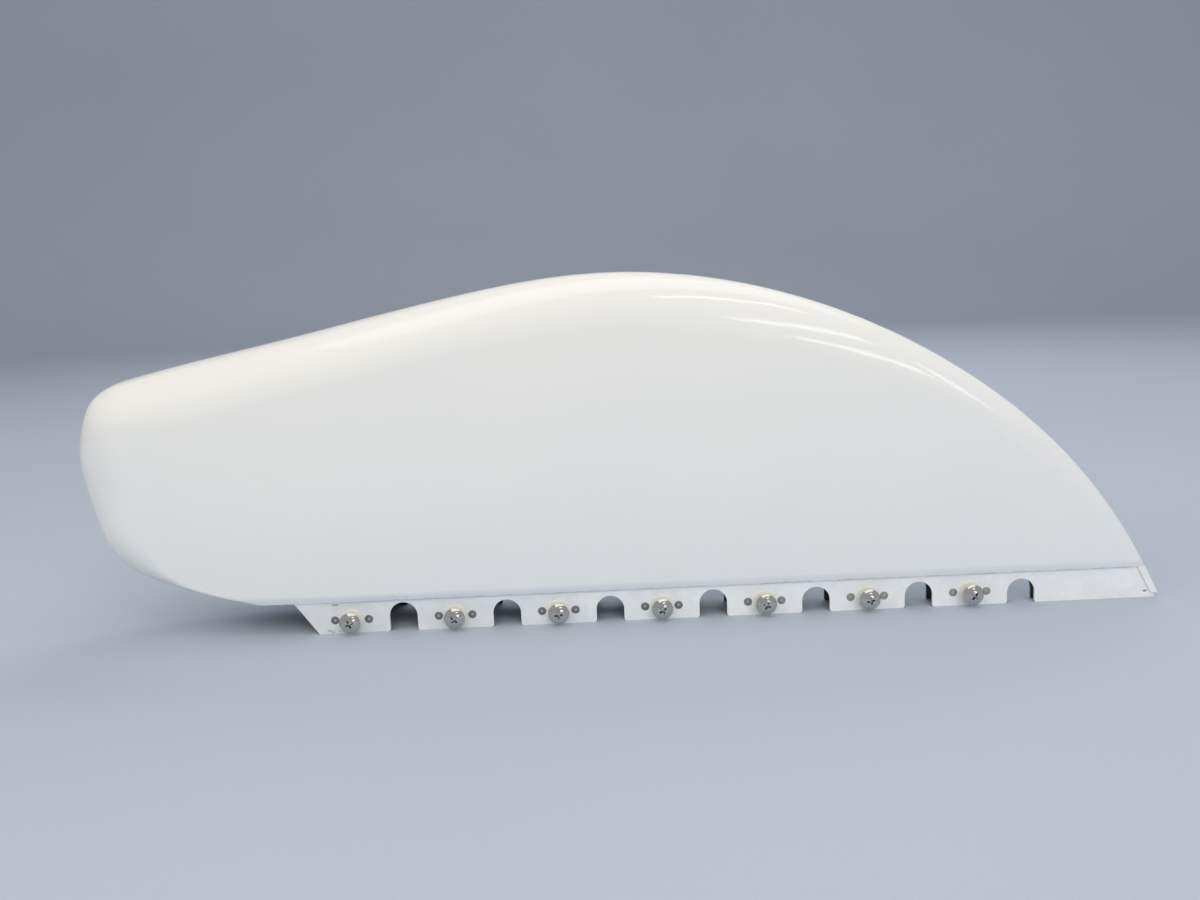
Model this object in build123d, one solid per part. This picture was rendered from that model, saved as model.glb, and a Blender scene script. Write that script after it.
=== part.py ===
from build123d import *
import math
import os

# Rudder cap: a moulded hollow tip for the top of an aircraft rudder.
# Frame: X runs aft, from the blunt nose to the trailing edge. Y is across, with the port side at -Y.
# Z is up. The cap stands on its flange at Z = 0, and the origin is below the middle of its length.
# All sizes are in millimetres.

# Side view of the cap
nose_x = -282.4
tail_x = 282.4
tail_height = 2.5
nose_height = 92.0
crest_x = -3.3
crest_height = 179.3
belly_x = -194.6
belly_height = 14.5

# Breadth of the cap
trailing_edge_thickness = 3.2
wedge_angle = 3.2
wedge_end_x = 278.7
horn_start_x = -142.4
horn_taper = 0.12
horn_taper_run = 130.0

# Rounding of the edge, as the depth over which the skin curls in from its full breadth
belly_round = 5.0
chin_round = 26.0
nose_round = 34.0
brow_round = 25.0
crest_round = 28.0
aft_round = 20.0
tail_round = 6.0

# Wall and the stepped flange that slips inside the rudder skin
wall = 2.0
flange_depth = 17.0
flange_wall = 1.6
skin_step = 1.0
joggle_height = 3.0
joggle_depth = 0.8
flange_root = 4.0
flange_front_x = -155.4
flange_front_lean = 12.0
tail_strip = 4.0
least_gap = 3.0

# Tabs, notches and fastener rows
tab_pitch = 53.6
tab_count = 7
middle_tab_x = 22.65
fastener_height = 7.1
notch_width = 14.4
notch_tops = (15.3, 14.3, 13.8, 14.7, 13.6, 13.8, 13.0)
notch_corner = 1.2

# Screws with a truss head, left standing proud of the flange
screw_diameter = 4.8
screw_length = 11.1
screw_head_diameter = 11.0
screw_head_height = 3.0
screw_stand_off = 5.4
screw_tip_chamfer = 0.6
screw_clearance = 0.2
recess_span = 5.2
recess_slot = 1.3
recess_depth = 1.7

# Washers
washer_diameter = 11.8
washer_thickness = 1.0
washer_play = 0.15

# Nutplates with two lugs, and their flush rivets
rivet_spacing = 17.46
lug_radius = 3.2
plate_thickness = 0.9
plate_waist = 9.6
nut_diameter = 7.4
nut_height = 3.9
thread_play = 0.02
rivet_diameter = 2.4
rivet_head_diameter = 4.4
rivet_head_angle = 100.0
rivet_tail_diameter = 3.5
rivet_tail_height = 1.0
rivet_tail_chamfer = 0.35

# Working values that follow from the sizes above
wedge_slope = math.tan(math.radians(wedge_angle))
horn_curve = (wedge_slope + horn_taper) / (2 * horn_taper_run)
far = tail_x - nose_x
across = far / 4
overrun = 1.0
relief_overrun = 0.1

# The loft of the skin: its lead-in below the belly, and the ribs that fan out to the rim
lead_run = 164.5
lead_drop = 43.0
foot_reach = 10.0
rib_count = 72
edge_steps = 8
flank_steps = 12
shoulder_handle = 0.4
foot_handle = 0.5
blend_reach = 0.05
blend_steps = 6

# The trailing edge, as shares of the run and drop from the crest to the tail
trailing_edge_above = (0.927, 0.783)
trailing_edge_below = (1.020, 1.070)


def wedge_half_breadth(x):
    """Half breadth of the straight-sided wedge at station x."""
    return trailing_edge_thickness / 2 + (wedge_end_x - x) * wedge_slope


def half_breadth(x):
    """Half breadth of the skin: the wedge, which swells to a round-shouldered horn at the front."""
    ahead = horn_start_x - x
    if ahead <= 0:
        return max(wedge_half_breadth(x), trailing_edge_thickness / 2)
    return wedge_half_breadth(horn_start_x) + wedge_slope * ahead - horn_curve * ahead ** 2


def flange_half_breadth(x):
    """Half breadth over the outside of the flange."""
    return wedge_half_breadth(x) - skin_step


def along(start, end, run, rise):
    """A point part of the way from start to end, by its share of the run and of the rise."""
    return (start[0] + (end[0] - start[0]) * run, start[1] + (end[1] - start[1]) * rise)


def rim_points():
    """The side outline: under the belly, round the nose, over the crest and down to the tail.

    Each entry is a point in the XZ plane with the depth of rounding there.
    """
    belly = (belly_x, belly_height)
    nose = (nose_x, nose_height)
    crest = (crest_x, crest_height)
    tail = (tail_x, tail_height)
    lead = (belly_x + lead_run, belly_height - lead_drop)
    legs = (
        (lead, belly, (
            (0.00, 0.00, belly_round),
            (0.35, 0.36, belly_round),
            (0.70, 0.72, belly_round),
            (1.00, 1.00, belly_round),
        )),
        (belly, nose, (
            (0.224, 0.064, belly_round),
            (0.462, 0.121, belly_round * 2),
            (0.680, 0.193, chin_round * 0.8),
            (0.866, 0.377, chin_round),
            (0.955, 0.664, nose_round),
            (1.000, 1.000, nose_round),
        )),
        (nose, crest, (
            (0.015, 0.246, brow_round * 1.2),
            (0.045, 0.397, brow_round * 1.1),
            (0.100, 0.474, brow_round * 1.1),
            (0.217, 0.561, brow_round * 1.2),
            (0.402, 0.680, crest_round),
            (0.706, 0.883, crest_round),
            (1.000, 1.000, crest_round),
        )),
        (crest, tail, (
            (0.318, 0.073, crest_round),
            (0.598, 0.274, aft_round),
            (0.815, 0.552, (aft_round + tail_round) / 2),
            (*trailing_edge_above, tail_round * 1.4),
            (1.000, 1.000, tail_round),
            (*trailing_edge_below, tail_round),
        )),
    )
    points = []
    for start, end, entries in legs:
        for run, rise, depth in entries:
            x, z = along(start, end, run, rise)
            points.append((x, depth, z))
    return points


def rib_heading(rim, share):
    """The way a rib runs inwards from the rim, as a unit vector in the XZ plane.

    It is the rim's inward normal, averaged over a stretch so that no two ribs cross at a corner.
    """
    total_x = 0.0
    total_z = 0.0
    for step in range(-blend_steps, blend_steps + 1):
        tangent = rim % min(max(share + step * blend_reach / blend_steps, 0.0), 1.0)
        size = math.hypot(tangent.X, tangent.Z)
        total_x += tangent.Z / size
        total_z -= tangent.X / size
    size = math.hypot(total_x, total_z)
    return total_x / size, total_z / size


def rib_points(place, heading, foot, inset):
    """One side of a rib, from the rim over the shoulder down to its foot.

    The edge is a quarter of an ellipse, and the flank below it follows the half breadth of the cap.
    The inset moves the whole rib inwards, for the inner face of the wall.
    """
    hx, hz = heading
    depth = place.Y
    path = []
    for step in range(edge_steps + 1):
        turn = math.pi / 2 * step / edge_steps
        reach = inset + (depth - inset) * (1 - math.cos(turn))
        path.append((place.X + hx * reach, place.Z + hz * reach, math.sin(turn)))
    shoulder = path[-1]
    near = (shoulder[0] + hx * shoulder_handle * depth, shoulder[1] + hz * shoulder_handle * depth)
    late = along(foot, shoulder, foot_handle, foot_handle)
    for step in range(1, flank_steps + 1):
        t = step / flank_steps
        x = (1 - t) ** 3 * shoulder[0] + 3 * t * (1 - t) ** 2 * near[0]
        x += 3 * t ** 2 * (1 - t) * late[0] + t ** 3 * foot[0]
        z = (1 - t) ** 3 * shoulder[1] + 3 * t * (1 - t) ** 2 * near[1]
        z += 3 * t ** 2 * (1 - t) * late[1] + t ** 3 * foot[1]
        path.append((x, z, 1.0))
    points = []
    for x, z, share in path:
        breadth = max(half_breadth(x) - inset, trailing_edge_thickness / 4)
        points.append((x, breadth * share, z))
    return points


def rib_foot(rim, share):
    """Where the first and the last rib end, straight ahead along their heading."""
    hx, hz = rib_heading(rim, share)
    place = rim @ share
    reach = place.Y + foot_reach
    return place.X + hx * reach, place.Z + hz * reach


def skin_body(inset):
    """The cap as a closed solid, lofted through ribs that fan out from the mouth to the rim."""
    rim = Spline(*rim_points())
    first_foot = rib_foot(rim, 0)
    last_foot = rib_foot(rim, 1)
    ribs = []
    for station in range(rib_count + 1):
        share = station / rib_count
        foot = along(first_foot, last_foot, share, share)
        side = rib_points(rim @ share, rib_heading(rim, share), foot, inset)
        port = [(x, -y, z) for x, y, z in reversed(side)]
        arch = port + side[1:]
        knots = [step / (len(arch) - 1) for step in range(len(arch))]
        curve = Edge.make_spline([Vector(*point) for point in arch], parameters=knots)
        sill = Edge.make_line(Vector(*arch[-1]), Vector(*arch[0]))
        ribs.append(Wire([curve, sill]))
    return Solid.make_loft(ribs)


def slab(points):
    """A side outline in the XZ plane, extruded both ways across the cap."""
    return extrude(Plane.XZ * Polygon(*points, align=None), amount=across, both=True)


def plan_wedge(start, end, inset, low, high):
    """The straight-sided plan of the flange between two stations, inset from its outer face."""
    near_end = flange_half_breadth(start) - inset
    far_end = flange_half_breadth(end) - inset
    face = Plane.XY.offset(low) * Polygon(
        (start, -near_end), (end, -far_end), (end, far_end), (start, near_end), align=None
    )
    return extrude(face, amount=high - low)


def flank_directions(side):
    """The way out of a flank of the wedge, and the way aft along it."""
    angle = math.radians(wedge_angle)
    return (math.sin(angle), side * math.cos(angle), 0), (math.cos(angle), -side * math.sin(angle), 0)


def station_where(breadth):
    """The station at which the flange's half breadth equals the given one."""
    return wedge_end_x - (breadth + skin_step - trailing_edge_thickness / 2) / wedge_slope


def strip_line():
    """The line that parts the flange from the full-thickness strip along the trailing edge."""
    run = (tail_x - crest_x) * (trailing_edge_below[0] - trailing_edge_above[0])
    rise = (tail_height - crest_height) * (trailing_edge_below[1] - trailing_edge_above[1])
    lean = run / rise
    foot_x = tail_x - tail_strip - lean * tail_height
    return foot_x, lean


def open_skin():
    """The hollow skin, opened at the mouth, with its trailing edge strip left on."""
    foot_x, lean = strip_line()
    kept = slab(
        [
            (-far, flange_depth),
            (foot_x + lean * flange_depth, flange_depth),
            (foot_x + lean * tail_height, tail_height),
            (far, tail_height),
            (far, far),
            (-far, far),
        ]
    )
    cavity_end = wedge_end_x - (wall + least_gap / 2 - trailing_edge_thickness / 2) / wedge_slope
    hollow = slab([(-far, -far), (cavity_end, -far), (cavity_end, far), (-far, far)])
    return (skin_body(0.0) & kept) - (skin_body(wall) & hollow)


def flange():
    """The stepped-in flange: two straight walls that meet ahead of the trailing edge."""
    foot_x, lean = strip_line()
    top = flange_depth + flange_root
    start = flange_front_x - flange_front_lean - flange_root
    end = foot_x + overrun
    block = plan_wedge(start, end, 0, 0, top)
    hollow_end = station_where(flange_wall + least_gap / 2)
    hollow = plan_wedge(start - overrun, hollow_end, flange_wall, -overrun, top + overrun)
    front_cut = slab(
        [
            (flange_front_x, 0),
            (flange_front_x - flange_front_lean, flange_depth),
            (flange_front_x - flange_front_lean, top + overrun),
            (start - overrun, top + overrun),
            (start - overrun, 0),
        ]
    )
    beyond_strip = slab([(end, 0), (end + lean * top, top), (far, top), (far, 0)])
    return block - hollow - front_cut - beyond_strip


def bar(x, z, radius):
    """A round bar that runs across the cap."""
    end = Plane((x, 0, z), x_dir=(1, 0, 0), z_dir=(0, 1, 0)) * Circle(radius)
    return extrude(end, amount=across, both=True)


def joggle_relief(side):
    """What is shaved off the skin above the flange, so that it curls in to the step."""
    radius = (joggle_height ** 2 + joggle_depth ** 2) / (2 * joggle_depth)
    foot_x, lean = strip_line()
    end = foot_x + lean * flange_depth - overrun
    normal, along_row = flank_directions(side)
    start = Plane(
        (end, side * wedge_half_breadth(end), flange_depth + joggle_height),
        x_dir=normal,
        z_dir=tuple(side * part for part in along_row),
    )
    low = joggle_height + relief_overrun
    block = Polygon((-radius, -low), (overrun, -low), (overrun, 0), (-radius, 0), align=None)
    section = block - Pos(-radius, 0) * Circle(radius)
    return extrude(start * section, amount=-side * far)


def notch(index):
    """One round-topped notch, cut through both walls behind its tab, with the tab corners rounded."""
    x = middle_tab_x + (index - (tab_count - 1) / 2 + 0.5) * tab_pitch
    radius = notch_width / 2
    spring = notch_tops[index] - radius
    slot = slab([(x - radius, -overrun), (x - radius, spring), (x + radius, spring), (x + radius, -overrun)])
    cutter = slot + bar(x, spring, radius)
    for side in (-1, 1):
        edge = x + side * (radius + notch_corner)
        corner = slab([(x, -overrun), (edge, -overrun), (edge, notch_corner), (x, notch_corner)])
        cutter = cutter + (corner - bar(edge, notch_corner, notch_corner))
    return cutter


def tab_plane(index, side):
    """The outer face of a tab: its plane faces outwards, with X running along the row of tabs."""
    x = middle_tab_x + (index - (tab_count - 1) / 2) * tab_pitch
    normal, along_row = flank_directions(side)
    return Plane((x, side * flange_half_breadth(x), fastener_height), x_dir=along_row, z_dir=normal)


def cone_depth():
    """How deep the countersink of a flush rivet goes."""
    half_angle = math.radians(rivet_head_angle / 2)
    return (rivet_head_diameter - rivet_diameter) / 2 / math.tan(half_angle)


def tab_holes():
    """What is drilled through one tab: the screw hole and two countersunk rivet holes."""
    deep = 2 * flange_wall
    holes = Pos(0, 0, -deep / 2) * Cylinder(screw_diameter / 2 + screw_clearance, deep + overrun)
    for offset in (-rivet_spacing / 2, rivet_spacing / 2):
        shank = Pos(offset, 0, -deep / 2) * Cylinder(rivet_diameter / 2, deep + overrun)
        holes = holes + shank + Pos(offset, 0, 0) * rivet_cone()
    return holes


def rivet_cone():
    """The flush head of a rivet, with its flat face at Z = 0."""
    depth = cone_depth()
    return Pos(0, 0, -depth / 2) * Cone(rivet_diameter / 2, rivet_head_diameter / 2, depth)


def rivet():
    """A flush rivet: head, shank through tab and lug, and the set tail on the lug."""
    grip = flange_wall + plate_thickness
    shank = Pos(0, 0, -grip / 2) * Cylinder(rivet_diameter / 2, grip)
    tail = Pos(0, 0, -grip - rivet_tail_height / 2) * Cylinder(rivet_tail_diameter / 2, rivet_tail_height)
    tail = chamfer(tail.edges().sort_by(Axis.Z)[0], rivet_tail_chamfer)
    return rivet_cone() + shank + tail


def washer():
    """A flat washer that lies on the tab."""
    ring = Cylinder(washer_diameter / 2, washer_thickness)
    hole = Cylinder(screw_diameter / 2 + washer_play, washer_thickness + overrun)
    return Pos(0, 0, washer_thickness / 2) * (ring - hole)


def screw():
    """A truss-head screw with a cross recess, standing proud of the tab."""
    radius = screw_head_diameter / 2
    crown = (radius ** 2 + screw_head_height ** 2) / (2 * screw_head_height)
    ball = Pos(0, 0, screw_stand_off + screw_head_height - crown) * Sphere(crown)
    blank = Pos(0, 0, screw_stand_off + screw_head_height / 2) * Cylinder(radius, screw_head_height)
    shank = Pos(0, 0, screw_stand_off - screw_length / 2) * Cylinder(screw_diameter / 2, screw_length)
    shank = chamfer(shank.edges().sort_by(Axis.Z)[0], screw_tip_chamfer)
    top = screw_stand_off + screw_head_height
    recess = Part()
    for turn in (0, 90):
        slot = Plane.XZ * Polygon(
            (-recess_span / 2, top + overrun),
            (-recess_span / 4, top - recess_depth),
            (recess_span / 4, top - recess_depth),
            (recess_span / 2, top + overrun),
            align=None,
        )
        recess = recess + Rot(0, 0, turn) * extrude(slot, amount=recess_slot / 2, both=True)
    return (ball & blank) + shank - recess


def nutplate():
    """A nutplate with two lugs: a plate against the inside of the tab, and a round nut on it."""
    face = -flange_wall
    lugs = [Pos(side * rivet_spacing / 2, 0) * Circle(lug_radius) for side in (-1, 1)]
    plate = make_hull((lugs[0] + lugs[1] + Circle(plate_waist / 2)).edges())
    base = Pos(0, 0, face - plate_thickness) * extrude(plate, amount=plate_thickness)
    nut = Pos(0, 0, face - nut_height / 2) * Cylinder(nut_diameter / 2, nut_height)
    body = base + nut
    bore = Cylinder(screw_diameter / 2 + thread_play, nut_height + overrun)
    for side in (-1, 1):
        place = Pos(side * rivet_spacing / 2, 0, face - plate_thickness / 2)
        body = body - place * Cylinder(rivet_diameter / 2, plate_thickness + overrun)
    return body - Pos(0, 0, face - nut_height / 2) * bore


def shell():
    """The moulded cap. Its flange is notched and drilled before it is joined to the skin."""
    lower = flange()
    drilled = tab_holes()
    for index in range(tab_count):
        lower = lower - notch(index)
        for side in (-1, 1):
            lower = lower - tab_plane(index, side).location * drilled
    return open_skin() + lower - joggle_relief(-1) - joggle_relief(1)


def write(name, shape):
    """Write one sub-part to its own file."""
    shape.label = name
    export_step(shape, os.path.join("parts", name + ".step"))


os.makedirs("parts", exist_ok=True)
write("shell", shell())
pieces = {"screw": screw(), "washer": washer(), "nutplate": nutplate()}
pieces["rivets"] = Compound(children=[Pos(side * rivet_spacing / 2, 0, 0) * rivet() for side in (-1, 1)])
for side, side_name in ((-1, "port"), (1, "starboard")):
    for index in range(tab_count):
        place = tab_plane(index, side).location
        for name, piece in pieces.items():
            write(name + "_" + side_name + "_" + str(index + 1), place * piece)
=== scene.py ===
# %% [markdown]
# # A rudder cap, dressed for its portrait
#
# The real object is the moulded tip that closes the top of an aircraft's rudder: a thin hollow shell in
# white gloss paint, with a stepped flange below it. Fourteen screws on the flange hold the rudder skin.
# The solids come from the CAD model. The shell keeps its solid and gets its paint here, and the small
# fasteners are modelled again with their finest detail.
# Everything is in metres in the CAD model's own frame: X runs aft, -Y is the port side and Z is up.

# %% Load the solids
import math

import bmesh
import bpy
from mathutils import Matrix, Vector


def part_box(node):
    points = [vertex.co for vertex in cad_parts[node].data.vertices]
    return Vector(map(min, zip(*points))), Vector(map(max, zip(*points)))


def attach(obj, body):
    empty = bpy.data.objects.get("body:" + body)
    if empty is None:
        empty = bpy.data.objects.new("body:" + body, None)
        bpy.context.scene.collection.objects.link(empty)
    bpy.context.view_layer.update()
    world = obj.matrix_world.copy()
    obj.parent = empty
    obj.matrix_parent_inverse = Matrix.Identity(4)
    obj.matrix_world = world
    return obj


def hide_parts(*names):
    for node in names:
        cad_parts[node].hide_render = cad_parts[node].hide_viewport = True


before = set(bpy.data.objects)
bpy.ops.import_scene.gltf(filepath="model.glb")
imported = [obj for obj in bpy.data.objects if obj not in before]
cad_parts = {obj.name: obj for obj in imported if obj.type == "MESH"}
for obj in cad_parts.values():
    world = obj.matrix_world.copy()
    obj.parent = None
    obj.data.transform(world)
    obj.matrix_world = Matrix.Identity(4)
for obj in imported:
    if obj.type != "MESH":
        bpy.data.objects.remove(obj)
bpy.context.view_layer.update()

# %% [markdown]
# ## Shader maths
#
# A finish is a small graph of nodes. Written by hand, one line of maths would be five lines of links.
# So one class wraps a socket and gives it +, -, * and /: an expression on it adds the Math nodes. A
# second class holds the material, and its method add makes any other kind of node.

# %% A socket that takes part in sums
class Pattern:
    """One number that varies over a surface."""

    def __init__(self, finish, socket):
        self.finish = finish
        self.socket = socket

    def math(self, operation, *values):
        inputs = dict(enumerate((self, *values)))
        return self.finish.add("Math", {"operation": operation}, inputs)

    def __add__(self, other):
        return self.math("ADD", other)

    def __radd__(self, other):
        return self.math("ADD", other)

    def __sub__(self, other):
        return self.math("SUBTRACT", other)

    def __rsub__(self, other):
        return self.finish.add("Math", {"operation": "SUBTRACT"}, {0: other, 1: self})

    def __mul__(self, other):
        return self.math("MULTIPLY", other)

    def __rmul__(self, other):
        return self.math("MULTIPLY", other)

    def __truediv__(self, other):
        return self.math("DIVIDE", other)

    def clamped(self):
        return self.finish.add("Clamp", {}, {"Value": self, "Min": 0.0, "Max": 1.0})

    def rises(self, low, high):
        """0 below low, 1 above high, and a smooth climb between them."""
        settings = {"interpolation_type": "SMOOTHSTEP"}
        return self.finish.add("MapRange", settings, {"Value": self, "From Min": low, "From Max": high})

    def falls(self, low, high):
        return 1 - self.rises(low, high)


# %% A material and the one method that builds it
mm = 0.001


class Finish:
    """A material that is put together node by node."""

    def __init__(self, name):
        self.material = bpy.data.materials.new(name)
        self.material.use_nodes = True
        self.tree = self.material.node_tree
        self.tree.nodes.clear()
        self.place = self.add("TexCoord", output="Object")
        self.x, self.y, self.z = self.split(self.place)

    def add(self, kind, settings=None, inputs=None, output=0):
        """Add a node: its settings come first, then the values or links of its sockets."""
        node = self.tree.nodes.new("ShaderNode" + kind)
        for key, value in (settings or {}).items():
            setattr(node, key, value)
        for key, value in (inputs or {}).items():
            if isinstance(value, Pattern):
                self.tree.links.new(value.socket, node.inputs[key])
            else:
                node.inputs[key].default_value = value
        return Pattern(self, node.outputs[output]) if node.outputs else None

    def split(self, vector):
        """The three parts of a vector."""
        parts = self.add("SeparateXYZ", {}, {"Vector": vector}).socket.node.outputs
        return [Pattern(self, part) for part in parts]

    def noise(self, size, detail=3.0, roughness=0.5):
        """Cloudy noise with features about size millimetres across."""
        inputs = {
            "Vector": self.place, "Scale": 1 / (size * mm), "Detail": detail, "Roughness": roughness,
        }
        return self.add("TexNoise", {"noise_dimensions": "3D"}, inputs)

    def blend(self, share, low, high):
        """Mix two colours by a share from 0 to 1."""
        values = {0: share}
        for key, colour in ((6, low), (7, high)):
            values[key] = colour if isinstance(colour, Pattern) else (*colour, 1.0)
        return self.add("Mix", {"data_type": "RGBA"}, values, output=2)

    def bump(self, relief, height, strength):
        """Raise the surface by a pattern, by at most height in millimetres."""
        inputs = {"Height": relief, "Distance": height * mm, "Strength": strength}
        return self.add("Bump", {}, inputs)

    def surface(self, **values):
        """The closing Principled shader, with its sockets by name."""
        inputs = {key.replace("_", " "): value for key, value in values.items()}
        shader = self.add("BsdfPrincipled", {}, inputs)
        self.add("OutputMaterial", {}, {"Surface": shader})
        print("Finish:", self.material.name, "with", len(self.tree.nodes), "nodes")
        return self.material


# %% [markdown]
# ## The paint on the cap
#
# The cap is sprayed with white gloss enamel over a moulded laminate. Its solid is one mesh, so painting
# each region by hand would mean marking thousands of faces. Masks are simpler: the direction in which a
# point faces, seen from the heart of the cap, tells the inside from the outside, and its height tells
# the flange. The inner face gets no gloss and is painted near black, painted shade for the dark inside
# of the shell.

# %% Tell the inside, the flange and its cut edges apart
flange_depth = 17.0
heart = (-0.010, 0.0, 0.075)
facing_blur = 0.0004
flange_end = 264.0

paint = Finish("white_gloss_paint")
height = paint.z / mm
station = paint.x / mm
facing = paint.add("TexCoord", output="Normal")
outward = paint.add("VectorMath", {"operation": "SUBTRACT"}, {0: paint.place, 1: heart})
facing_out = paint.add(
    "VectorMath", {"operation": "DOT_PRODUCT"}, {0: facing, 1: outward}, output="Value"
)
# The step at the flange's aft end faces the heart, but it is outside, so the mask stops before it.
inside = facing_out.falls(-facing_blur, facing_blur) * station.falls(flange_end - 2.0, flange_end + 2.0)
on_flange = height.falls(flange_depth - 0.3, flange_depth + 0.1)
sideways = paint.split(facing)[1].math("ABSOLUTE")
cut_edge = on_flange * sideways.falls(0.4, 0.6) * station.falls(flange_end, flange_end + 4.0)
print("Masks for the inside, the flange and its cut edges")

# %% [markdown]
# The corner of the step above the flange gets a thin grey line, broken up by noise: partly grime, which
# any corner gathers that a cloth can't reach, and partly painted shade under the step. A few darker
# specks of dirt lie in it. The paint is chipped above the first screw, scuffed at the lowest corner of
# the first tab, and nicked near the tail. These marks could be painted on an image, but a soft-edged spot
# and a little maths needs no file.

# %% Grime and painted shade, specks and scuffs
spot_rim = (0.6, 1.1)
port_side = paint.y.falls(-0.0005, 0.0)


def spot(x, z, long, tall):
    """A soft-edged mark on the port side, centred on (x, z), in millimetres."""
    reach_x = (station - x) / long
    reach_z = (height - z) / tall
    reach = (reach_x * reach_x + reach_z * reach_z).math("POWER", 0.5)
    return reach.falls(*spot_rim) * port_side


patchy = paint.noise(9.0, detail=5.0, roughness=0.65)
fine = paint.noise(1.6, detail=4.0, roughness=0.6)
corner = (height - (flange_depth - 0.1)).math("ABSOLUTE").falls(0.15, 0.75)
# Partly grime and partly painted shade: a grey line in the corner under the step.
grime_and_shade = corner * patchy.rises(0.35, 0.7) * station.rises(-158.0, -120.0) * 0.6
specks = corner * fine.rises(0.58, 0.66) * patchy.rises(0.42, 0.55) * 0.55
chip = spot(x=-146.3, z=15.3, long=2.2, tall=0.7) * fine.rises(0.3, 0.6) * 0.6
scuff = spot(x=-147.5, z=1.2, long=6.5, tall=1.3) * fine.rises(0.42, 0.6) * 0.5
nick = spot(x=275.4, z=3.4, long=1.3, tall=0.7) * 0.8
marks = (specks + chip + scuff + nick).clamped()
print("Marks: grime, specks, a chip, a scuff and a nick")

# %% [markdown]
# The enamel is not a pure white. Its colour is painted cooler and greyer low down and warmer and lighter
# towards the crest: painted light and shade, from a warm light above and a cool bounce below. It has
# faint clouds where the coat is thicker. The tabs are painted darker and greyer at the front of the row
# than at its end, which is painted shade. A soft bluish band on the rounded edge above the step is
# painted shade and a painted reflection of a bluish floor, where the edge turns down.

# %% Mix the colour, with painted light and shade
clouds = paint.noise(70.0, detail=2.0)
# Painted light and shade: warmer and lighter towards the crest, cooler and greyer low down, broken by
# clouds in the coat.
painted_light_and_clouds = (height + (clouds - 0.5) * 60.0).rises(10.0, 165.0)
cap_white = paint.blend(painted_light_and_clouds, (0.765, 0.78, 0.79), (0.84, 0.83, 0.795))
# Painted shade: the tabs are darker and greyer towards the front of the row, with some random tone.
tab_tone_and_shade = patchy.rises(0.3, 0.75) * 0.4 + station.rises(-165.0, 90.0) * 0.6
tab_white = paint.blend(tab_tone_and_shade, (0.66, 0.685, 0.715), (0.86, 0.875, 0.885))
enamel = paint.blend(on_flange, cap_white, tab_white)

above_step = height.rises(flange_depth - 0.2, flange_depth + 0.5)
below_flank = height.falls(flange_depth + 1.0, flange_depth + 4.5)
# Painted shade and a painted reflection: a bluish band on the rounded edge just above the step, where it
# turns down.
painted_edge_shade = above_step * below_flank * (0.6 + station.falls(-150.0, 120.0) * 0.4) * (0.35 + patchy * 0.5)
edge_shaded = paint.blend(painted_edge_shade, enamel, (0.47, 0.52, 0.62))
grimed_and_shaded = paint.blend(grime_and_shade, edge_shaded, (0.36, 0.37, 0.42))
marked = paint.blend(marks, grimed_and_shaded, (0.12, 0.085, 0.07))
# Painted shade: the inner face is near black, as the inside of the shell lies in shade.
painted_inner_shade = paint.blend(patchy.rises(0.3, 0.7), (0.035, 0.035, 0.034), (0.06, 0.06, 0.056))
lined = paint.blend(inside, marked, painted_inner_shade)
cap_colour = paint.blend(cut_edge, lined, (0.62, 0.62, 0.60))
print("Colours: enamel, haze, grime, marks, primer and cut edges")

# %% [markdown]
# Gloss paint has orange peel, a very shallow ripple a few millimetres long that bends the reflection of
# a lamp. Modelled, it would need millions of faces, so a bump node fakes it. The dark painted inner face
# shows the cloth of the laminate instead. A thin clear coat over the enamel sharpens its highlights.

# %% Give the paint its gloss and ripple
peel = paint.noise(2.6, detail=1.0)
cloth = paint.noise(0.9, detail=2.0)
relief = peel * (1 - inside) * 0.10 + cloth * inside * 0.6
dullness = 0.10 + on_flange * 0.14 + inside * 0.5 + marks * 0.4
cap_paint = paint.surface(
    Base_Color=cap_colour,
    Roughness=dullness.clamped(),
    Coat_Weight=(0.35 * (1 - inside)).clamped(),
    Coat_Roughness=0.05,
    Normal=paint.bump(relief, 0.05, 1.0),
)
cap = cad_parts["shell"]
cap.data.materials.clear()
cap.data.materials.append(cap_paint)
print("The cap is painted:", len(cap.data.polygons), "faces")

# %% [markdown]
# ## Metals and the washer
#
# The screws are bright plated steel, nearly a mirror, with fine polishing marks and a few dull stains. A
# flat grey would look like plastic: metal is told by what it mirrors, so its colour and roughness vary
# only a little and the bump is finer than a hair.

# %% Bright plated steel for the screws
plating = Finish("bright_plated_steel")
polish = plating.noise(0.5, detail=4.0)
stain = plating.noise(2.2, detail=4.0, roughness=0.6)
screw_metal = plating.surface(
    Base_Color=plating.blend(stain.rises(0.55, 0.8), (0.61, 0.60, 0.585), (0.45, 0.42, 0.37)),
    Metallic=1.0,
    Roughness=(0.09 + stain.rises(0.45, 0.8) * 0.18).clamped(),
    Normal=plating.bump(polish, 0.01, 0.5),
)

# %% [markdown]
# The rivets are aluminium, dulled by a chromate coat and milled flat, with a lighter dimple in the
# middle. Paint was sprayed past the last tabs, so their rivets are paler. As the rivets lie where the
# CAD model has them, their own X coordinate can drive that overspray.

# %% Dull aluminium for the rivets
alloy = Finish("dull_aluminium")
mill = alloy.noise(0.35, detail=5.0, roughness=0.7)
milled = alloy.blend(mill.rises(0.3, 0.7), (0.24, 0.236, 0.228), (0.34, 0.336, 0.325))
overspray = (alloy.x / mm).rises(40.0, 120.0) * 0.75
rivet_metal = alloy.surface(
    Base_Color=alloy.blend(overspray, milled, (0.52, 0.52, 0.44)),
    Metallic=0.85,
    Roughness=0.42 + mill * 0.2,
    Normal=alloy.bump(mill, 0.02, 0.6),
)

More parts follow.
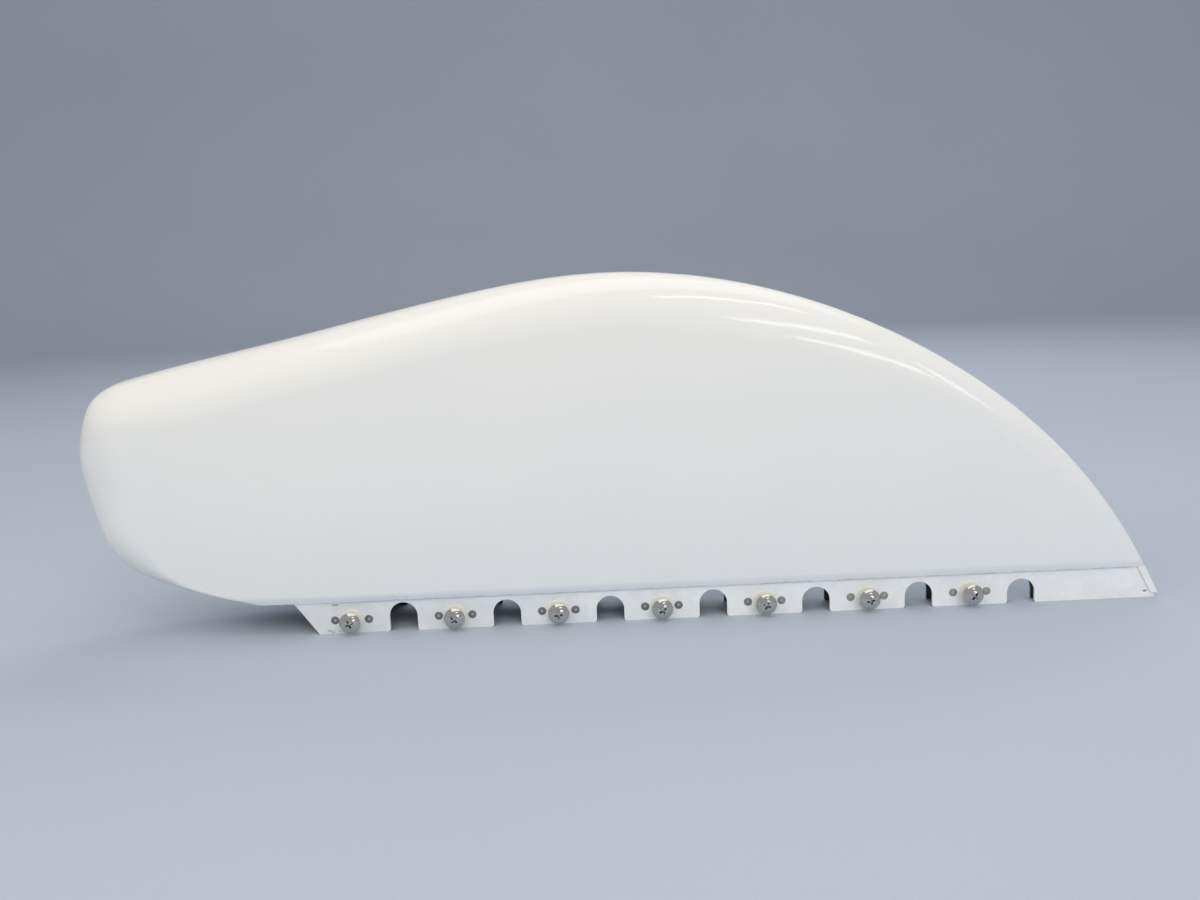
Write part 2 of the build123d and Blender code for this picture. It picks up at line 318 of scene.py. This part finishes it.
dimple = Finish("bright_dimple")
grain = dimple.noise(0.4, detail=3.0)
dimple_metal = dimple.surface(
    Base_Color=dimple.blend(grain, (0.44, 0.44, 0.42), (0.54, 0.54, 0.52)),
    Metallic=0.3,
    Roughness=0.35 + grain * 0.2,
)

# %% [markdown]
# The nutplates are cadmium-plated steel, a soft yellowish grey with a cloudy bloom. The washers are pale,
# slightly yellowed nylon, which is dull and not a metal.

# %% Cadmium plate and nylon
cadmium = Finish("cadmium_plate")
bloom = cadmium.noise(1.8, detail=4.0)
nutplate_metal = cadmium.surface(
    Base_Color=cadmium.blend(bloom.rises(0.3, 0.75), (0.46, 0.43, 0.33), (0.58, 0.55, 0.46)),
    Metallic=1.0,
    Roughness=0.35 + bloom * 0.2,
    Normal=cadmium.bump(bloom, 0.03, 0.4),
)

nylon = Finish("pale_nylon")
mottle = nylon.noise(3.0, detail=3.0)
washer_nylon = nylon.surface(
    Base_Color=nylon.blend(mottle.rises(0.3, 0.7), (0.75, 0.745, 0.65), (0.81, 0.805, 0.73)),
    Roughness=0.4 + mottle * 0.15,
    Normal=nylon.bump(mottle, 0.03, 0.3),
)

# %% [markdown]
# ## Hands for modelling
#
# Every small piece below is drawn with the same few moves, as by hand at the screen. A round part
# could be spun from a profile, but drawing a disc out ring by ring, with extrude and resize, leaves no
# seam. Modifiers are applied, doubles merged and normals turned outwards before a piece is used.

# %% Select one piece
def clear_selection():
    bpy.ops.object.select_all(action="DESELECT")


def make_active(piece):
    clear_selection()
    piece.select_set(True)
    bpy.context.view_layer.objects.active = piece


# %% Draw a round part, ring by ring
def turned(name, profile, segments):
    """Draw a disc out along Z through rings of (radius, height), in millimetres."""
    clear_selection()
    radius, level = profile[0]
    bpy.ops.mesh.primitive_circle_add(
        vertices=segments, radius=radius * mm, fill_type="NGON", location=(0, 0, level * mm)
    )
    piece = bpy.context.object
    piece.name = name
    bpy.ops.object.transform_apply(location=True, rotation=True, scale=True)
    bpy.ops.object.mode_set(mode="EDIT")
    bpy.ops.mesh.select_all(action="SELECT")
    for next_radius, next_level in profile[1:]:
        step = (0, 0, (next_level - level) * mm)
        bpy.ops.mesh.extrude_region_move(TRANSFORM_OT_translate={"value": step})
        scale = next_radius / radius
        centre = (0, 0, next_level * mm)
        bpy.ops.transform.resize(value=(scale, scale, 1.0), center_override=centre)
        radius, level = next_radius, next_level
    bpy.ops.mesh.select_all(action="SELECT")
    bpy.ops.mesh.normals_make_consistent(inside=False)
    bpy.ops.object.mode_set(mode="OBJECT")
    return piece


# %% Apply, combine and bevel
def apply_modifiers(piece):
    make_active(piece)
    for modifier in list(piece.modifiers):
        bpy.ops.object.modifier_apply(modifier=modifier.name)


def combine(piece, tool, operation):
    """Join, cut or keep the common part of two closed solids, and use up the second one."""
    modifier = piece.modifiers.new("combine", "BOOLEAN")
    modifier.operation = operation
    modifier.solver = "EXACT"
    modifier.object = tool
    apply_modifiers(piece)
    bpy.data.objects.remove(tool)
    return piece


def bevelled(piece, width, segments):
    """Round every edge that turns by more than 40 degrees."""
    modifier = piece.modifiers.new("edges", "BEVEL")
    modifier.width = width * mm
    modifier.segments = segments
    modifier.limit_method = "ANGLE"
    modifier.angle_limit = math.radians(40)
    apply_modifiers(piece)
    return piece


# %% Finish a piece and say what it is
def finished(piece, *materials):
    """Merge doubles, turn the normals outwards, smooth what is round and give it its finish."""
    make_active(piece)
    bpy.ops.object.mode_set(mode="EDIT")
    bpy.ops.mesh.select_all(action="SELECT")
    bpy.ops.mesh.remove_doubles(threshold=0.001 * mm)
    bpy.ops.mesh.normals_make_consistent(inside=False)
    bpy.ops.object.mode_set(mode="OBJECT")
    bpy.ops.object.shade_smooth_by_angle(angle=math.radians(35))
    last = len(materials) - 1
    face_materials = [min(face.material_index, last) for face in piece.data.polygons]
    piece.data.materials.clear()
    for material in materials:
        piece.data.materials.append(material)
    piece.data.polygons.foreach_set("material_index", face_materials)
    check = bmesh.new()
    check.from_mesh(piece.data)
    loose = sum(1 for edge in check.edges if not edge.is_manifold)
    volume = check.calc_volume() / mm ** 3
    print(piece.name, "faces:", len(check.faces), "open edges:", loose, "mm3:", round(volume, 1))
    check.free()
    return piece


# %% [markdown]
# ## The screw
#
# It is a truss-head machine screw with a cross recess. The head is the top of a ball, which a half
# circle could be spun into as well, but a ball that bisect cuts flat has its faces evenly spread. The
# face below is then drawn down into a thin rim, whose lower edge is broken.

# %% The domed head
head_diameter = 11.0
head_height = 3.0
head_rim = 0.35
rim_break = 0.4
stand_off = 5.4


def screw_head():
    radius = head_diameter / 2
    dome = head_height - head_rim
    ball = (radius ** 2 + dome ** 2) / (2 * dome)
    top = stand_off + head_height
    clear_selection()
    bpy.ops.mesh.primitive_uv_sphere_add(
        segments=64, ring_count=64, radius=ball * mm, location=(0, 0, (top - ball) * mm)
    )
    head = bpy.context.object
    head.name = "screw_head"
    bpy.ops.object.transform_apply(location=True, rotation=True, scale=True)
    bpy.ops.object.mode_set(mode="EDIT")
    bpy.ops.mesh.select_all(action="SELECT")
    cut = (0, 0, (stand_off + head_rim) * mm)
    bpy.ops.mesh.bisect(plane_co=cut, plane_no=(0, 0, 1), use_fill=True, clear_inner=True)
    shape = bmesh.from_edit_mesh(head.data)
    for face in shape.faces:
        face.select_set(face.normal.z < -0.99)
    bmesh.update_edit_mesh(head.data)
    for share in (1 - rim_break, rim_break):
        step = (0, 0, -head_rim * share * mm)
        bpy.ops.mesh.extrude_region_move(TRANSFORM_OT_translate={"value": step})
    shrink = (radius - head_rim * rim_break) / radius
    bpy.ops.transform.resize(value=(shrink, shrink, 1.0), center_override=(0, 0, stand_off * mm))
    bpy.ops.object.mode_set(mode="OBJECT")
    return head


# %% [markdown]
# The recess is a cross that narrows towards its bottom, so that the driver wedges in it. Its cutter is a
# square bar whose four sides are drawn out into wings, and whose lower end is then scaled in.

# %% The cross recess
recess_span = 5.4
recess_slot = 1.25
recess_depth = 1.9
recess_taper = 0.42
cutter_rise = 0.6


def recess_cutter():
    top = stand_off + head_height + cutter_rise
    tall = recess_depth + cutter_rise
    low = (top - tall) * mm
    clear_selection()
    bpy.ops.mesh.primitive_cube_add(
        size=1.0,
        location=(0, 0, (top - tall / 2) * mm),
        scale=(recess_slot * mm, recess_slot * mm, tall * mm),
    )
    cutter = bpy.context.object
    cutter.name = "recess_cutter"
    bpy.ops.object.transform_apply(location=True, rotation=True, scale=True)
    bpy.ops.object.mode_set(mode="EDIT")
    bpy.ops.mesh.select_all(action="DESELECT")
    shape = bmesh.from_edit_mesh(cutter.data)
    for face in shape.faces:
        face.select_set(abs(face.normal.z) < 0.1)
    bmesh.update_edit_mesh(cutter.data)
    wing = (recess_span - recess_slot) / 2
    bpy.ops.mesh.extrude_faces_move(TRANSFORM_OT_shrink_fatten={"value": wing * mm})
    bpy.ops.mesh.select_all(action="DESELECT")
    bpy.ops.mesh.select_mode(type="VERT")
    shape = bmesh.from_edit_mesh(cutter.data)
    for vertex in shape.verts:
        vertex.select_set(abs(vertex.co.z - low) < 0.001 * mm)
    shape.select_flush(True)
    bmesh.update_edit_mesh(cutter.data)
    bpy.ops.transform.resize(value=(recess_taper, recess_taper, 1.0), center_override=(0, 0, low))
    bpy.ops.mesh.select_mode(type="FACE")
    bpy.ops.mesh.select_all(action="SELECT")
    bpy.ops.mesh.normals_make_consistent(inside=False)
    bpy.ops.object.mode_set(mode="OBJECT")
    return cutter


# %% [markdown]
# The thread is a V-shaped groove wound round the shank. Rings stacked along the shank would look right
# from afar, but a real thread climbs. So one tooth is drawn as a short chain of points, and a Screw
# modifier winds it up. A chamfered bar then trims both ends to the screw's length.

# %% Wind up the thread
screw_diameter = 4.8
thread_pitch = 0.79
thread_depth = 0.42
root_end, crest_start, crest_end = (thread_pitch * share for share in (0.12, 0.44, 0.56))
weld = 0.002 * mm


def wound_thread(low, turns):
    """Draw one tooth of the thread at the height low, and wind it up."""
    crest = screw_diameter / 2
    root = crest - thread_depth
    clear_selection()
    bpy.ops.mesh.primitive_circle_add(vertices=4, radius=thread_pitch * mm)
    tooth = bpy.context.object
    tooth.name = "thread_tooth"
    points = (
        (root, low), (root, low + root_end), (crest, low + crest_start), (crest, low + crest_end),
    )
    bpy.ops.object.mode_set(mode="EDIT")
    shape = bmesh.from_edit_mesh(tooth.data)
    shape.verts.ensure_lookup_table()
    shape.edges.remove(shape.edges.get((shape.verts[3], shape.verts[0])))
    for vertex, (radius, level) in zip(shape.verts, points):
        vertex.co = (radius * mm, 0, level * mm)
        vertex.select_set(False)
    shape.verts.ensure_lookup_table()
    shape.verts[3].select_set(True)
    bmesh.update_edit_mesh(tooth.data)
    fall = (-thread_depth * mm, 0, (thread_pitch - crest_end) * mm)
    bpy.ops.mesh.extrude_vertices_move(TRANSFORM_OT_translate={"value": fall})
    bpy.ops.object.mode_set(mode="OBJECT")
    winding = tooth.modifiers.new("winding", "SCREW")
    winding.axis = "Z"
    winding.angle = math.tau
    winding.screw_offset = thread_pitch * mm
    winding.iterations = turns
    winding.steps = 32
    winding.render_steps = 32
    winding.use_merge_vertices = True
    winding.merge_threshold = weld
    apply_modifiers(tooth)
    return tooth


# %% Close the thread and trim it
screw_length = 11.1
tip_chamfer = 0.6


def threaded_shank():
    low = stand_off - screw_length - 1.5 * thread_pitch
    thread = wound_thread(low, math.ceil(screw_length / thread_pitch) + 3)
    bpy.ops.object.mode_set(mode="EDIT")
    bpy.ops.mesh.select_mode(type="EDGE")
    bpy.ops.mesh.select_all(action="SELECT")
    bpy.ops.mesh.remove_doubles(threshold=weld)
    bpy.ops.mesh.select_all(action="DESELECT")
    bpy.ops.mesh.select_non_manifold()
    bpy.ops.mesh.edge_face_add()
    bpy.ops.mesh.select_all(action="SELECT")
    bpy.ops.mesh.normals_make_consistent(inside=False)
    bpy.ops.object.mode_set(mode="OBJECT")
    crest = screw_diameter / 2
    tip = stand_off - screw_length
    profile = (
        (crest - tip_chamfer, tip), (crest + 0.05, tip + tip_chamfer), (crest + 0.05, stand_off + 0.4),
    )
    return combine(thread, turned("chamfered_bar", profile, 48), "INTERSECT")


# %% Put the screw together
screw_model = screw_head()
combine(screw_model, recess_cutter(), "DIFFERENCE")
combine(screw_model, threaded_shank(), "UNION")
screw_model.name = "screw_model"
finished(screw_model, screw_metal)

# %% [markdown]
# ## The washer
#
# A pale nylon ring lies on the tab and keeps the screw from marking the paint. It could be cut from a
# disc, but an open tube that a Solidify modifier thickens inwards is a clean ring at once. A Bevel
# modifier then rounds its edges.

# %% Model the washer
washer_diameter = 11.8
washer_thickness = 1.0
washer_hole = 5.1


def washer_ring():
    clear_selection()
    bpy.ops.mesh.primitive_cylinder_add(
        vertices=64,
        radius=washer_diameter / 2 * mm,
        depth=washer_thickness * mm,
        end_fill_type="NOTHING",
        location=(0, 0, washer_thickness / 2 * mm),
    )
    ring = bpy.context.object
    ring.name = "washer_model"
    bpy.ops.object.transform_apply(location=True, rotation=True, scale=True)
    wall = ring.modifiers.new("wall", "SOLIDIFY")
    wall.thickness = (washer_diameter - washer_hole) / 2 * mm
    wall.offset = -1.0
    apply_modifiers(ring)
    bevelled(ring, 0.28, 3)
    return finished(ring, washer_nylon)


washer_model = washer_ring()

# %% [markdown]
# ## The rivets
#
# Flush rivets are countersunk: the head is a cone, let into the tab so that only its flat face shows. The
# tail behind the lug is squeezed into a low drum. Two rivets hold each nutplate, so one is turned and
# copied to the other lug. The dimple's faces get their lighter metal before the copy is made.

# %% Turn one rivet
flange_wall = 1.6
plate_thickness = 0.9
rivet_spacing = 17.46
rivet_diameter = 2.4
rivet_head_diameter = 4.4
rivet_head_depth = 0.84
rivet_tail_diameter = 3.5
rivet_tail_height = 1.0
dimple_radius = 0.53


def rivet():
    shank = rivet_diameter / 2
    head = rivet_head_diameter / 2
    tail = rivet_tail_diameter / 2
    back = -flange_wall - plate_thickness
    profile = (
        (tail * 0.8, back - rivet_tail_height),
        (tail * 0.97, back - rivet_tail_height * 0.85),
        (tail, back - rivet_tail_height * 0.5),
        (tail * 0.97, back - rivet_tail_height * 0.1),
        (tail * 0.94, back),
        (shank, back),
        (shank, -rivet_head_depth),
        (head, -0.10),
        (head, -0.02),
        (head - 0.05, 0.0),
        (0.55, -0.015),
        (0.45, 0.02),
        (0.25, 0.05),
    )
    piece = turned("rivets_model", profile, 40)
    piece.data.materials.append(rivet_metal)
    piece.data.materials.append(dimple_metal)
    for face in piece.data.polygons:
        reach = math.hypot(face.center.x, face.center.y)
        face.material_index = int(reach < dimple_radius * mm and face.center.z > -0.03 * mm)
    return piece


# %% Pair it with its neighbour
def rivet_pair():
    left = rivet()
    left.data.transform(Matrix.Translation((-rivet_spacing / 2 * mm, 0, 0)))
    right = left.copy()
    right.data = left.data.copy()
    bpy.context.scene.collection.objects.link(right)
    right.data.transform(Matrix.Translation((rivet_spacing * mm, 0, 0)))
    make_active(left)
    right.select_set(True)
    bpy.ops.object.join()
    return finished(left, rivet_metal, dimple_metal)


rivets_model = rivet_pair()

# %% [markdown]
# ## The nutplate
#
# A two-lug anchor nut sits behind each tab: a pressed plate with a lug at each end, and a round nut that
# is pinched at its top so that it grips the screw. The plate's outline has only arcs and straight lines
# that touch them, which is the hull round three flat discs. The nut is turned, joined on, and bored.

# %% Press the plate
lug_radius = 3.2
plate_waist = 9.6
plate_front = -flange_wall
plate_back = plate_front - plate_thickness


def flat_disc(centre, radius):
    """Add one disc of the plate, centred at X = centre."""
    bpy.ops.mesh.primitive_cylinder_add(
        vertices=48,
        radius=radius * mm,
        depth=plate_thickness * mm,
        location=(centre * mm, 0, (plate_back + plate_front) / 2 * mm),
    )


def pressed_plate():
    clear_selection()
    flat_disc(-rivet_spacing / 2, lug_radius)
    plate = bpy.context.object
    plate.name = "nutplate_model"
    bpy.ops.object.transform_apply(location=True, rotation=True, scale=True)
    bpy.ops.object.mode_set(mode="EDIT")
    flat_disc(rivet_spacing / 2, lug_radius)
    flat_disc(0.0, plate_waist / 2)
    bpy.ops.mesh.select_all(action="SELECT")
    bpy.ops.mesh.convex_hull()
    bpy.ops.mesh.dissolve_limited(angle_limit=math.radians(1))
    bpy.ops.object.mode_set(mode="OBJECT")
    return bevelled(plate, 0.15, 2)


# %% Join the nut, bore it and drill the lugs
nut_diameter = 7.4
nut_height = 3.9
bore_gap = 0.03
lug_gap = 0.01


def anchor_nut():
    plate = pressed_plate()
    radius = nut_diameter / 2
    top = plate_front - nut_height
    # From the pinched top, down the barrel, to the flare where the nut meets its plate.
    barrel = (
        (radius - 0.45, top),
        (radius - 0.15, top + 0.2),
        (radius - 0.08, top + 1.4),
        (radius, top + 2.0),
        (radius + 0.5, plate_back - 0.12),
        (radius + 0.9, plate_back + 0.3),
    )
    combine(plate, turned("nut_barrel", barrel, 48), "UNION")
    bore = screw_diameter / 2 + bore_gap
    combine(plate, turned("bore", ((bore, top - 1), (bore, plate_front + 1)), 48), "DIFFERENCE")
    lug_hole = rivet_diameter / 2 + lug_gap
    for end in (-1, 1):
        hole = turned("hole", ((lug_hole, plate_back - 0.5), (lug_hole, plate_front + 0.5)), 32)
        hole.data.transform(Matrix.Translation((end * rivet_spacing / 2 * mm, 0, 0)))
        combine(plate, hole, "DIFFERENCE")
    return finished(plate, nutplate_metal)


nutplate_model = anchor_nut()

# %% [markdown]
# ## Fit the fasteners to the tabs
#
# All fourteen tabs carry the same four pieces. Their places could be worked out again from the pitch of
# the tabs, but the CAD model knows them: its washer lies flat on its tab, so the middle of its box gives
# the tab's centre, and the flank's known angle gives the way out. Each copy gets its own mesh, turned and
# moved there, so the object itself stays at the origin.

# %% Find a tab
wedge_angle = math.radians(3.2)
sides = {"port": -1, "starboard": 1}


def tab_place(side_name, number):
    side = sides[side_name]
    low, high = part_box(f"washer_{side_name}_{number}")
    out = Vector((math.sin(wedge_angle), side * math.cos(wedge_angle), 0.0))
    aft = Vector((math.cos(wedge_angle), -side * math.sin(wedge_angle), 0.0))
    centre = (Vector(low) + Vector(high)) / 2 - out * (washer_thickness / 2 * mm)
    turn = Matrix((aft, out.cross(aft), out)).transposed().to_4x4()
    return Matrix.Translation(centre) @ turn


# %% [markdown]
# No two screws were driven home at the same angle, so each of the seven has its own turn.

# %% Place the copies
models = {
    "screw": screw_model, "washer": washer_model, "nutplate": nutplate_model, "rivets": rivets_model,
}
screw_turns = (22, 48, 8, 35, 65, 12, 52)


def fit(kind, side_name, number, twist):
    node = f"{kind}_{side_name}_{number}"
    copy = models[kind].copy()
    copy.data = models[kind].data.copy()
    copy.name = "fitted_" + node
    bpy.context.scene.collection.objects.link(copy)
    copy.data.transform(tab_place(side_name, number) @ Matrix.Rotation(math.radians(twist), 4, "Z"))
    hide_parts(node)
    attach(copy, "root")


for side_name in sides:
    for number, screw_turn in enumerate(screw_turns, 1):
        for kind in models:
            fit(kind, side_name, number, screw_turn if kind == "screw" else 0.0)
for model in models.values():
    bpy.data.objects.remove(model)
print("Fasteners are fitted:", len(models) * len(sides) * len(screw_turns))

# %% [markdown]
# ## Floor and backdrop
#
# The cap stands on a plain pale sweep: a floor that curves up into a backdrop, as in a picture
# studio. Two planes would show a line where they meet, so it is one strip, with its back edge extruded
# along a quarter circle and then straight up.

# %% The sweep's pale paint
sweep_finish = Finish("pale_sweep")
weave = sweep_finish.noise(400.0, detail=2.0)
sweep_paint = sweep_finish.surface(
    Base_Color=sweep_finish.blend(weave, (0.44, 0.49, 0.58), (0.47, 0.52, 0.61)),
    Roughness=0.75,
)

# %% Build the sweep
floor_size = 6.0
floor_middle = -1.0
floor_back = floor_middle + floor_size / 2
curve_radius = 0.8
curve_steps = 12
wall_height = 3.0

clear_selection()
bpy.ops.mesh.primitive_plane_add(size=floor_size, location=(0, floor_middle, 0))
sweep = bpy.context.object
sweep.name = "sweep"
bpy.ops.object.transform_apply(location=True, rotation=True, scale=True)
bpy.ops.object.mode_set(mode="EDIT")
bpy.ops.mesh.select_mode(type="EDGE")
bpy.ops.mesh.select_all(action="DESELECT")
strip = bmesh.from_edit_mesh(sweep.data)
for edge in strip.edges:
    edge.select_set(all(vertex.co.y > floor_back - mm for vertex in edge.verts))
bmesh.update_edit_mesh(sweep.data)
for step in range(curve_steps):
    before = math.pi / 2 * step / curve_steps
    after = math.pi / 2 * (step + 1) / curve_steps
    run = curve_radius * (math.sin(after) - math.sin(before))
    rise = curve_radius * (math.cos(before) - math.cos(after))
    bpy.ops.mesh.extrude_region_move(TRANSFORM_OT_translate={"value": (0, run, rise)})
bpy.ops.mesh.extrude_region_move(TRANSFORM_OT_translate={"value": (0, 0, wall_height)})
bpy.ops.mesh.select_all(action="SELECT")
bpy.ops.mesh.normals_make_consistent(inside=False)
bpy.ops.object.mode_set(mode="OBJECT")
bpy.ops.object.shade_smooth()
sweep.data.materials.append(sweep_paint)
print("Sweep:", len(sweep.data.polygons), "faces")

# %% [markdown]
# ## Light
#
# White gloss needs gentle light, or its crest burns out. Four large lamps do most of the work. One hangs
# overhead and makes the crest the brightest part, one lights the port side from the front, a warm one
# stands off the nose, and one behind keeps the starboard side from going dark. Only the overhead one
# shows in reflections, as a soft band along the crest and on the screw heads.

# %% Hang the large lamps
middle = Vector((0.0, 0.0, 0.09))


def lamp(name, place, size, power, colour):
    """Hang a rectangular lamp that looks at the middle of the cap."""
    light = bpy.data.lights.new(name, "AREA")
    light.shape = "RECTANGLE"
    light.size, light.size_y = size
    light.energy = power
    light.color = colour
    hung = bpy.data.objects.new(name, light)
    bpy.context.scene.collection.objects.link(hung)
    hung.location = place
    hung.rotation_euler = (middle - Vector(place)).to_track_quat("-Z", "Y").to_euler()
    return hung


lamp("overhead", (0.1, -0.3, 1.6), (2.0, 1.1), 7.0, (1.0, 0.96, 0.90))
front_soft = lamp("front_soft", (0.3, -1.9, 1.2), (2.4, 1.8), 21.5, (1.0, 0.985, 0.97))
left_warm = lamp("left_warm", (-1.7, -1.0, 1.3), (0.9, 0.9), 7.5, (1.0, 0.87, 0.68))
rear_soft = lamp("rear_soft", (0.2, 1.2, 1.4), (1.2, 0.9), 9.0, (1.0, 0.985, 0.96))
for soft_lamp in (front_soft, left_warm, rear_soft):
    soft_lamp.visible_glossy = False
rear_soft.visible_camera = False
print("Four large lamps hang")

# %% [markdown]
# The thin curved streaks on the crest are the mirror images of lamp tubes in a workshop's ceiling. Paint
# can't give them, because they slide over the gloss as one walks round. So real tubes hang behind the
# camera, where a ray that is mirrored in the crest would meet them, and each is turned along its row.

# %% Hang the tubes
tube_width = 0.14
tube_radiance = 3.6
tubes = (
    ((0.41, -1.82, 1.80), (1.14, -1.40, 1.80)),
    ((0.86, -2.80, 1.05), (1.57, -2.30, 1.40)),
    ((0.95, -2.70, 0.55), (1.50, -2.20, 0.70)),
    ((1.75, -2.20, 1.05), (1.90, -2.45, 0.55)),
)
for number, ends in enumerate(tubes, 1):
    start, end = map(Vector, ends)
    centre = (start + end) / 2
    long = (end - start).length
    power = tube_radiance * math.pi * long * tube_width
    tube = lamp(f"tube_{number}", centre, (long, tube_width), power, (1.0, 0.98, 0.93))
    along = (end - start).normalized()
    across = along.cross((middle - centre).normalized()).normalized()
    turn = Matrix((along, across, along.cross(across))).transposed().to_4x4()
    tube.matrix_world = Matrix.Translation(centre) @ turn
print("Tubes hang:", len(tubes))

# %% [markdown]
# A pale world fills in the rest, so that no shadow is black.

# %% Light the world
world = bpy.data.worlds.new("studio")
bpy.context.scene.world = world
world.use_nodes = True
sky = world.node_tree.nodes["Background"].inputs
sky["Color"].default_value = (0.96, 0.98, 1.0, 1.0)
sky["Strength"].default_value = 0.43
print("World strength:", round(sky["Strength"].default_value, 2))

# %% [markdown]
# ## Camera
#
# The camera stands where the picture was taken: off the port side, 56 cm away, a little above the crest,
# tipped 10 degrees down and rolled 2.4 degrees. A track-to constraint can't give the roll, so its three
# directions are worked out one by one. The figures were fitted to the places of the fasteners.

# %% Place the camera
focal_pixels = 1100.0
picture_width = 1200.0
sensor_width = 36.0
camera_place = Vector((18.3, -564.7, 189.9)) * mm
look_flat = Vector((-0.0445, 0.999, 0.0)).normalized()
tip_down = math.radians(10.235)
roll = math.radians(2.390)

up = Vector((0, 0, 1))
ahead = look_flat * math.cos(tip_down) - up * math.sin(tip_down)
level_right = ahead.cross(up).normalized()
level_above = level_right.cross(ahead)
right = level_right * math.cos(roll) - level_above * math.sin(roll)
above = level_right * math.sin(roll) + level_above * math.cos(roll)
camera = bpy.data.cameras.new("camera")
camera.sensor_width = sensor_width
camera.lens = sensor_width * focal_pixels / picture_width
camera.clip_start = 0.01
tripod = bpy.data.objects.new("camera", camera)
bpy.context.scene.collection.objects.link(tripod)
camera_turn = Matrix((right, above, -ahead)).transposed().to_4x4()
tripod.matrix_world = Matrix.Translation(camera_place) @ camera_turn
bpy.context.scene.camera = tripod
bpy.context.scene.view_settings.view_transform = "Standard"
print("Camera lens:", round(camera.lens, 1), "mm")
